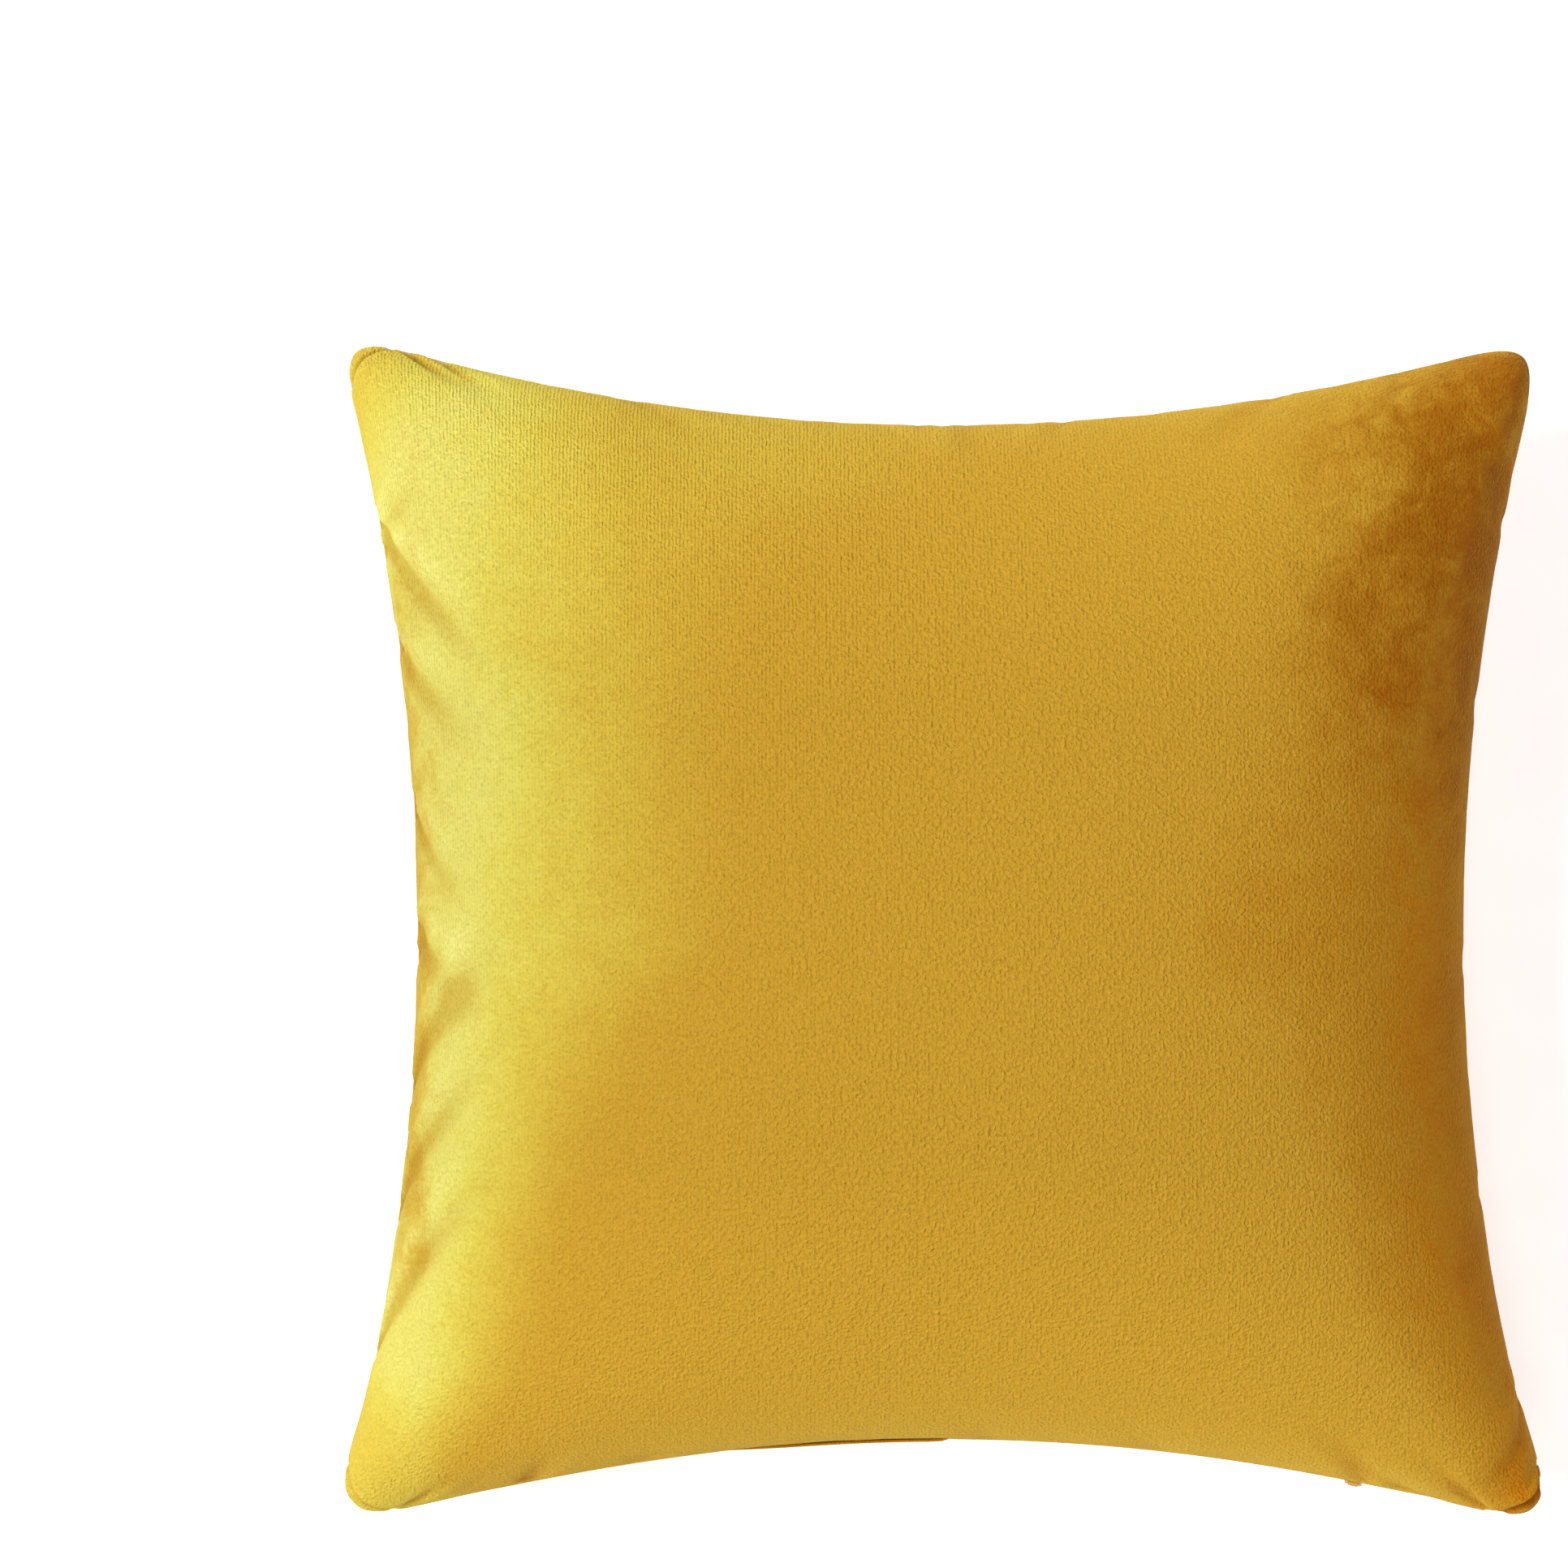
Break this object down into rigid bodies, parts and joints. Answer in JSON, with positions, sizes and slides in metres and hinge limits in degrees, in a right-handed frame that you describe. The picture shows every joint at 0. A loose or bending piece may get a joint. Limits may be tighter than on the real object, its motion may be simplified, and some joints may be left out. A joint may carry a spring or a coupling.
{
  "type": "throw pillow",
  "caption": "Square stuffed velvet throw pillow with knife-edge seams, a concealed zip in its bottom seam and a removable fibre-filled insert.",
  "frame": {"origin": "under the middle of the pillow, on the plane that its back rests on", "axes": "+Z out of the front face, +Y towards the top edge (the zip is in the bottom edge, at -Y), +X to the right as seen from the front"},
  "size_m": [0.4442, 0.4376, 0.16],
  "materials": {
    "velvet": "mustard gold velvet, short sheared pile",
    "thread": "spun polyester sewing thread, mustard",
    "label": "blank woven satin tape, white",
    "zip_tape": "woven polyester tape, mustard",
    "zip_coil": "nylon monofilament, mustard",
    "zip_stop": "crimped metal",
    "zip_enamel": "mustard enamel on die-cast zinc",
    "casing": "white spun-bonded polypropylene cloth",
    "casing_thread": "white polyester sewing thread",
    "filling": "white polyester fibre, loose and crimped"
  },
  "bodies": {
    "pillow": {"cover_front_panel": "velvet", "cover_back_panel": "velvet", "cover_seam_thread": "thread", "cover_overlock_thread": "thread", "cover_care_label": "label", "zip_tape_front": "zip_tape", "zip_tape_back": "zip_tape", "zip_coil_front": "zip_coil", "zip_coil_back": "zip_coil", "zip_stitching_front": "thread", "zip_stitching_back": "thread", "zip_top_stops": "zip_stop", "zip_bottom_stop": "zip_stop", "zip_bar_tacks": "thread", "insert_casing_front": "casing", "insert_casing_back": "casing", "insert_seam_thread": "casing_thread", "insert_filling": "filling"},
    "slider": {"zip_slider": "zip_enamel"},
    "pull_tab": {"zip_pull_tab": "zip_enamel"}
  },
  "joints": [
    {"name": "zip_slide", "type": "hinge", "parent": "pillow", "child": "slider", "pos_m": [0, -0.94323, 0.076], "axis": [0, 0, 1], "range_deg": [0, 23.85]},
    {"name": "tab_swing", "type": "hinge", "parent": "slider", "child": "pull_tab", "pos_m": [0.15421, -0.20738, 0.076], "axis": [-0.9787, 0.2051, 0], "range_deg": [0, 180]}
  ]
}
